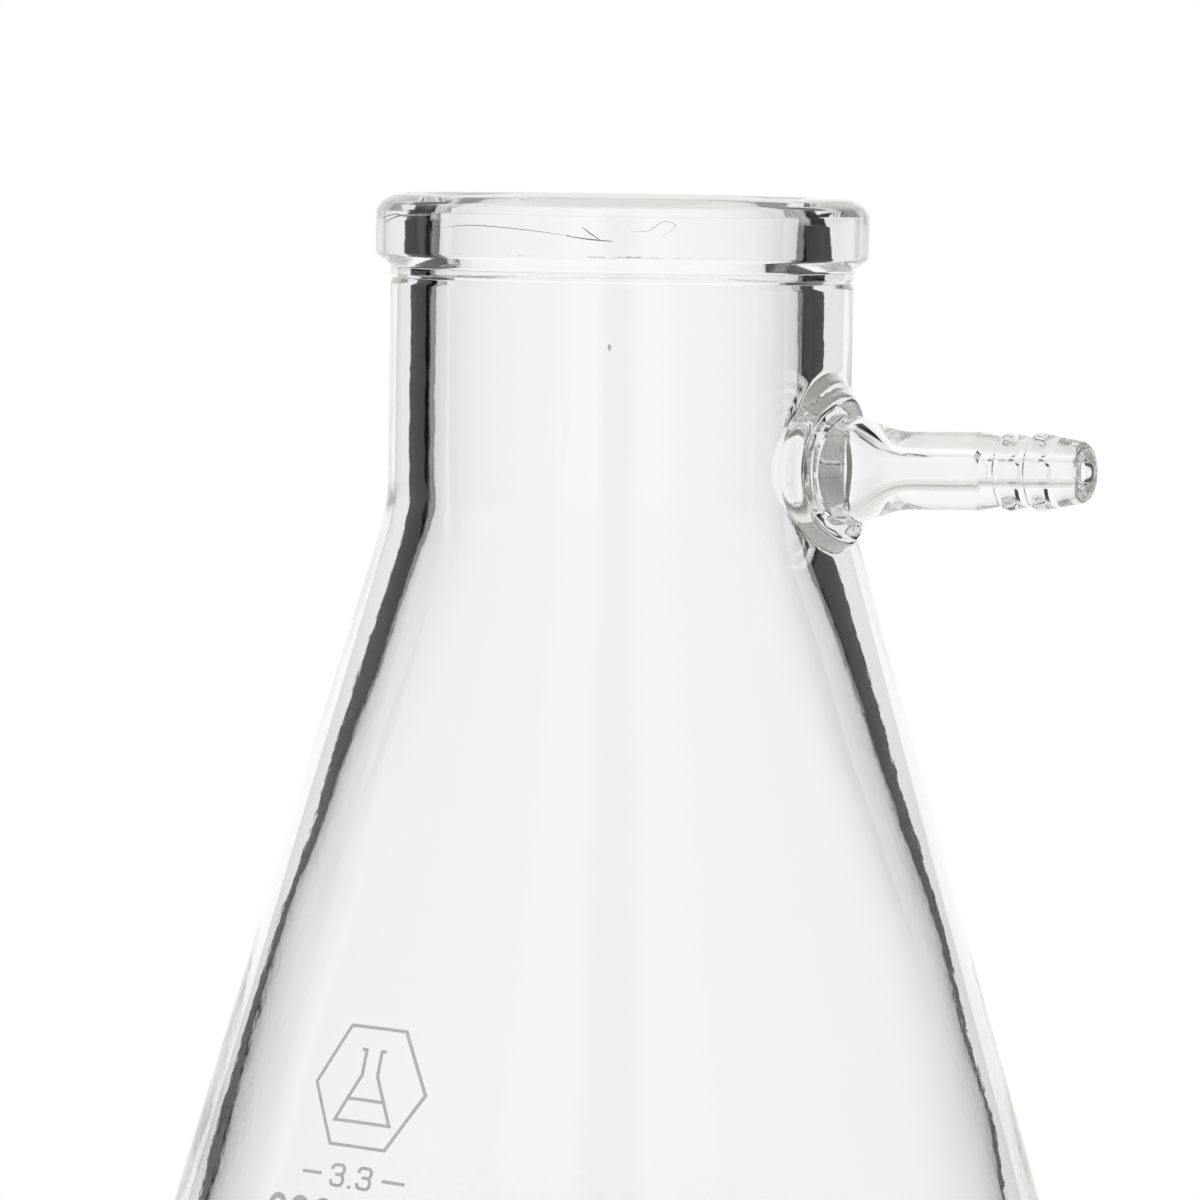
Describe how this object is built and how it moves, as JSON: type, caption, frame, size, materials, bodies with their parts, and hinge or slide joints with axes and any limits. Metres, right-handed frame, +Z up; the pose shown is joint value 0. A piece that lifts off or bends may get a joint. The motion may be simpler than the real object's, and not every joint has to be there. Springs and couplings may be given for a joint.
{
  "type": "vacuum filter flask",
  "caption": "Conical heavy-wall glass filter flask with a beaded rim, a wide neck and a barbed glass side arm for a vacuum hose.",
  "frame": {"origin": "on the flask's axis, in the plane of the ring that it stands on", "axes": "+Z up along the flask's axis, out of the mouth; +X towards the side arm; XZ is the mirror plane of the glass"},
  "size_m": [0.166, 0.166, 0.255],
  "materials": {
    "borosilicate_body": "clear, fire-polished, slightly wavy",
    "borosilicate_arm": "clear, moulded and flame-worked",
    "fired_enamel": "matt, fired on, light grey"
  },
  "bodies": {
    "root": {"flask_body": "borosilicate_body", "side_arm": "borosilicate_arm", "enamel_emblem": "fired_enamel", "enamel_glass_number": "fired_enamel", "enamel_capacity": "fired_enamel"}
  },
  "joints": []
}
